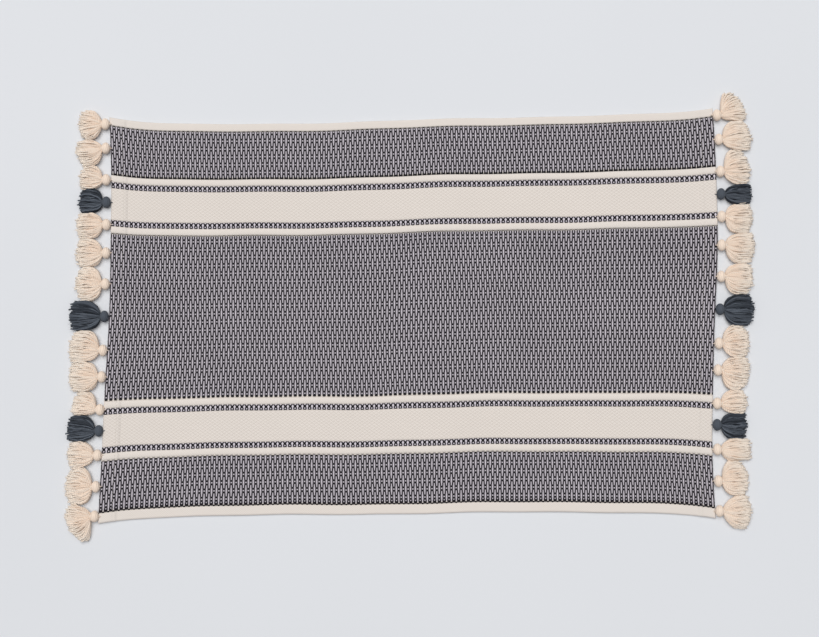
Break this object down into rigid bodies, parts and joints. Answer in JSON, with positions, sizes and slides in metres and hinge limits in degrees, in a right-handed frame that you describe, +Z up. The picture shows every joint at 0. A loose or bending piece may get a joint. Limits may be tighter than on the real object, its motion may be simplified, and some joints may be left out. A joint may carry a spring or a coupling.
{
  "type": "bath mat",
  "caption": "Flat-woven cotton bath mat with banded patterned weave, hemmed ends and a fringe of ball-headed yarn tassels along both short ends.",
  "frame": {"origin": "middle of the mat, on the floor it lies on", "axes": "+X along the mat's length, +Y across it to the back edge, +Z up through the cloth"},
  "size_m": [1.024, 0.656, 0.014],
  "materials": {
    "cream_border": "tightly woven natural cotton border, matt",
    "cream_twill": "natural cotton in a fine diagonal twill, matt",
    "cream_cord": "raised natural cotton cord stripe, matt",
    "dark_field": "light grey floats over near-black yarn in a dotted weave, matt",
    "dark_braid": "crossed near-black and pale grey braid stripe, matt",
    "cream_tassel": "loose warm cream cotton yarn, fluffy",
    "dark_tassel": "loose blue-charcoal cotton yarn, fluffy"
  },
  "bodies": {
    "left_half": {"left_back_border": "cream_border", "left_back_field": "dark_field", "left_back_outer_cord": "cream_cord", "left_back_outer_braid": "dark_braid", "left_back_cream": "cream_twill", "left_back_inner_braid": "dark_braid", "left_back_inner_cord": "cream_cord", "left_middle_field": "dark_field", "left_front_inner_cord": "cream_cord", "left_front_inner_braid": "dark_braid", "left_front_cream": "cream_twill", "left_front_outer_braid": "dark_braid", "left_front_outer_cord": "cream_cord", "left_front_field": "dark_field", "left_front_border": "cream_border"},
    "right_half": {"right_back_border": "cream_border", "right_back_field": "dark_field", "right_back_outer_cord": "cream_cord", "right_back_outer_braid": "dark_braid", "right_back_cream": "cream_twill", "right_back_inner_braid": "dark_braid", "right_back_inner_cord": "cream_cord", "right_middle_field": "dark_field", "right_front_inner_cord": "cream_cord", "right_front_inner_braid": "dark_braid", "right_front_cream": "cream_twill", "right_front_outer_braid": "dark_braid", "right_front_outer_cord": "cream_cord", "right_front_field": "dark_field", "right_front_border": "cream_border"},
    "left_tassel_01": {"left_tassel_01": "cream_tassel"},
    "left_tassel_02": {"left_tassel_02": "cream_tassel"},
    "left_tassel_03": {"left_tassel_03": "cream_tassel"},
    "left_tassel_04": {"left_tassel_04": "dark_tassel"},
    "left_tassel_05": {"left_tassel_05": "cream_tassel"},
    "left_tassel_06": {"left_tassel_06": "cream_tassel"},
    "left_tassel_07": {"left_tassel_07": "cream_tassel"},
    "left_tassel_08": {"left_tassel_08": "dark_tassel"},
    "left_tassel_09": {"left_tassel_09": "cream_tassel"},
    "left_tassel_10": {"left_tassel_10": "cream_tassel"},
    "left_tassel_11": {"left_tassel_11": "cream_tassel"},
    "left_tassel_12": {"left_tassel_12": "dark_tassel"},
    "left_tassel_13": {"left_tassel_13": "cream_tassel"},
    "left_tassel_14": {"left_tassel_14": "cream_tassel"},
    "left_tassel_15": {"left_tassel_15": "cream_tassel"},
    "right_tassel_01": {"right_tassel_01": "cream_tassel"},
    "right_tassel_02": {"right_tassel_02": "cream_tassel"},
    "right_tassel_03": {"right_tassel_03": "cream_tassel"},
    "right_tassel_04": {"right_tassel_04": "dark_tassel"},
    "right_tassel_05": {"right_tassel_05": "cream_tassel"},
    "right_tassel_06": {"right_tassel_06": "cream_tassel"},
    "right_tassel_07": {"right_tassel_07": "cream_tassel"},
    "right_tassel_08": {"right_tassel_08": "dark_tassel"},
    "right_tassel_09": {"right_tassel_09": "cream_tassel"},
    "right_tassel_10": {"right_tassel_10": "cream_tassel"},
    "right_tassel_11": {"right_tassel_11": "cream_tassel"},
    "right_tassel_12": {"right_tassel_12": "dark_tassel"},
    "right_tassel_13": {"right_tassel_13": "cream_tassel"},
    "right_tassel_14": {"right_tassel_14": "cream_tassel"},
    "right_tassel_15": {"right_tassel_15": "cream_tassel"}
  },
  "joints": [
    {"name": "cloth_fold", "type": "hinge", "parent": "left_half", "child": "right_half", "pos_m": [0, 0, 0.0063], "axis": [0, -1, 0], "range_deg": [0, 177]},
    {"name": "left_tassel_01_lift", "type": "hinge", "parent": "left_half", "child": "left_tassel_01", "pos_m": [-0.4462, 0.29083, 0.007], "axis": [0, -1, 0], "range_deg": [-105, 0]},
    {"name": "left_tassel_02_lift", "type": "hinge", "parent": "left_half", "child": "left_tassel_02", "pos_m": [-0.44557, 0.25459, 0.007], "axis": [0, -1, 0], "range_deg": [-105, 0]},
    {"name": "left_tassel_03_lift", "type": "hinge", "parent": "left_half", "child": "left_tassel_03", "pos_m": [-0.44499, 0.20717, 0.007], "axis": [0, -1, 0], "range_deg": [-105, 0]},
    {"name": "left_tassel_04_lift", "type": "hinge", "parent": "left_half", "child": "left_tassel_04", "pos_m": [-0.44481, 0.17365, 0.007], "axis": [0, -1, 0], "range_deg": [-105, 0]},
    {"name": "left_tassel_05_lift", "type": "hinge", "parent": "left_half", "child": "left_tassel_05", "pos_m": [-0.44486, 0.14043, 0.007], "axis": [0, -1, 0], "range_deg": [-105, 0]},
    {"name": "left_tassel_06_lift", "type": "hinge", "parent": "left_half", "child": "left_tassel_06", "pos_m": [-0.44531, 0.09785, 0.007], "axis": [0, -1, 0], "range_deg": [-105, 0]},
    {"name": "left_tassel_07_lift", "type": "hinge", "parent": "left_half", "child": "left_tassel_07", "pos_m": [-0.44629, 0.05164, 0.007], "axis": [0, -1, 0], "range_deg": [-105, 0]},
    {"name": "left_tassel_08_lift", "type": "hinge", "parent": "left_half", "child": "left_tassel_08", "pos_m": [-0.44784, 0.00362, 0.007], "axis": [0, -1, 0], "range_deg": [-105, 0]},
    {"name": "left_tassel_09_lift", "type": "hinge", "parent": "left_half", "child": "left_tassel_09", "pos_m": [-0.44996, -0.04651, 0.007], "axis": [0, -1, 0], "range_deg": [-105, 0]},
    {"name": "left_tassel_10_lift", "type": "hinge", "parent": "left_half", "child": "left_tassel_10", "pos_m": [-0.4519, -0.08577, 0.007], "axis": [0, -1, 0], "range_deg": [-105, 0]},
    {"name": "left_tassel_11_lift", "type": "hinge", "parent": "left_half", "child": "left_tassel_11", "pos_m": [-0.45451, -0.13439, 0.007], "axis": [0, -1, 0], "range_deg": [-105, 0]},
    {"name": "left_tassel_12_lift", "type": "hinge", "parent": "left_half", "child": "left_tassel_12", "pos_m": [-0.45622, -0.1655, 0.007], "axis": [0, -1, 0], "range_deg": [-105, 0]},
    {"name": "left_tassel_13_lift", "type": "hinge", "parent": "left_half", "child": "left_tassel_13", "pos_m": [-0.45817, -0.20143, 0.007], "axis": [0, -1, 0], "range_deg": [-105, 0]},
    {"name": "left_tassel_14_lift", "type": "hinge", "parent": "left_half", "child": "left_tassel_14", "pos_m": [-0.4605, -0.24734, 0.007], "axis": [0, -1, 0], "range_deg": [-105, 0]},
    {"name": "left_tassel_15_lift", "type": "hinge", "parent": "left_half", "child": "left_tassel_15", "pos_m": [-0.46243, -0.29083, 0.007], "axis": [0, -1, 0], "range_deg": [-105, 0]},
    {"name": "right_tassel_01_lift", "type": "hinge", "parent": "right_half", "child": "right_tassel_01", "pos_m": [0.45594, 0.29372, 0.007], "axis": [0, 1, 0], "range_deg": [-105, 0]},
    {"name": "right_tassel_02_lift", "type": "hinge", "parent": "right_half", "child": "right_tassel_02", "pos_m": [0.45785, 0.25711, 0.007], "axis": [0, 1, 0], "range_deg": [-105, 0]},
    {"name": "right_tassel_03_lift", "type": "hinge", "parent": "right_half", "child": "right_tassel_03", "pos_m": [0.45922, 0.20923, 0.007], "axis": [0, 1, 0], "range_deg": [-105, 0]},
    {"name": "right_tassel_04_lift", "type": "hinge", "parent": "right_half", "child": "right_tassel_04", "pos_m": [0.45957, 0.17538, 0.007], "axis": [0, 1, 0], "range_deg": [-105, 0]},
    {"name": "right_tassel_05_lift", "type": "hinge", "parent": "right_half", "child": "right_tassel_05", "pos_m": [0.45941, 0.14183, 0.007], "axis": [0, 1, 0], "range_deg": [-105, 0]},
    {"name": "right_tassel_06_lift", "type": "hinge", "parent": "right_half", "child": "right_tassel_06", "pos_m": [0.45847, 0.09882, 0.007], "axis": [0, 1, 0], "range_deg": [-105, 0]},
    {"name": "right_tassel_07_lift", "type": "hinge", "parent": "right_half", "child": "right_tassel_07", "pos_m": [0.45658, 0.05215, 0.007], "axis": [0, 1, 0], "range_deg": [-105, 0]},
    {"name": "right_tassel_08_lift", "type": "hinge", "parent": "right_half", "child": "right_tassel_08", "pos_m": [0.45393, 0.00366, 0.007], "axis": [0, 1, 0], "range_deg": [-105, 0]},
    {"name": "right_tassel_09_lift", "type": "hinge", "parent": "right_half", "child": "right_tassel_09", "pos_m": [0.4509, -0.04697, 0.007], "axis": [0, 1, 0], "range_deg": [-105, 0]},
    {"name": "right_tassel_10_lift", "type": "hinge", "parent": "right_half", "child": "right_tassel_10", "pos_m": [0.44869, -0.08662, 0.007], "axis": [0, 1, 0], "range_deg": [-105, 0]},
    {"name": "right_tassel_11_lift", "type": "hinge", "parent": "right_half", "child": "right_tassel_11", "pos_m": [0.44658, -0.13573, 0.007], "axis": [0, 1, 0], "range_deg": [-105, 0]},
    {"name": "right_tassel_12_lift", "type": "hinge", "parent": "right_half", "child": "right_tassel_12", "pos_m": [0.44573, -0.16714, 0.007], "axis": [0, 1, 0], "range_deg": [-105, 0]},
    {"name": "right_tassel_13_lift", "type": "hinge", "parent": "right_half", "child": "right_tassel_13", "pos_m": [0.44529, -0.20344, 0.007], "axis": [0, 1, 0], "range_deg": [-105, 0]},
    {"name": "right_tassel_14_lift", "type": "hinge", "parent": "right_half", "child": "right_tassel_14", "pos_m": [0.44552, -0.24979, 0.007], "axis": [0, 1, 0], "range_deg": [-105, 0]},
    {"name": "right_tassel_15_lift", "type": "hinge", "parent": "right_half", "child": "right_tassel_15", "pos_m": [0.44636, -0.29372, 0.007], "axis": [0, 1, 0], "range_deg": [-105, 0]}
  ]
}
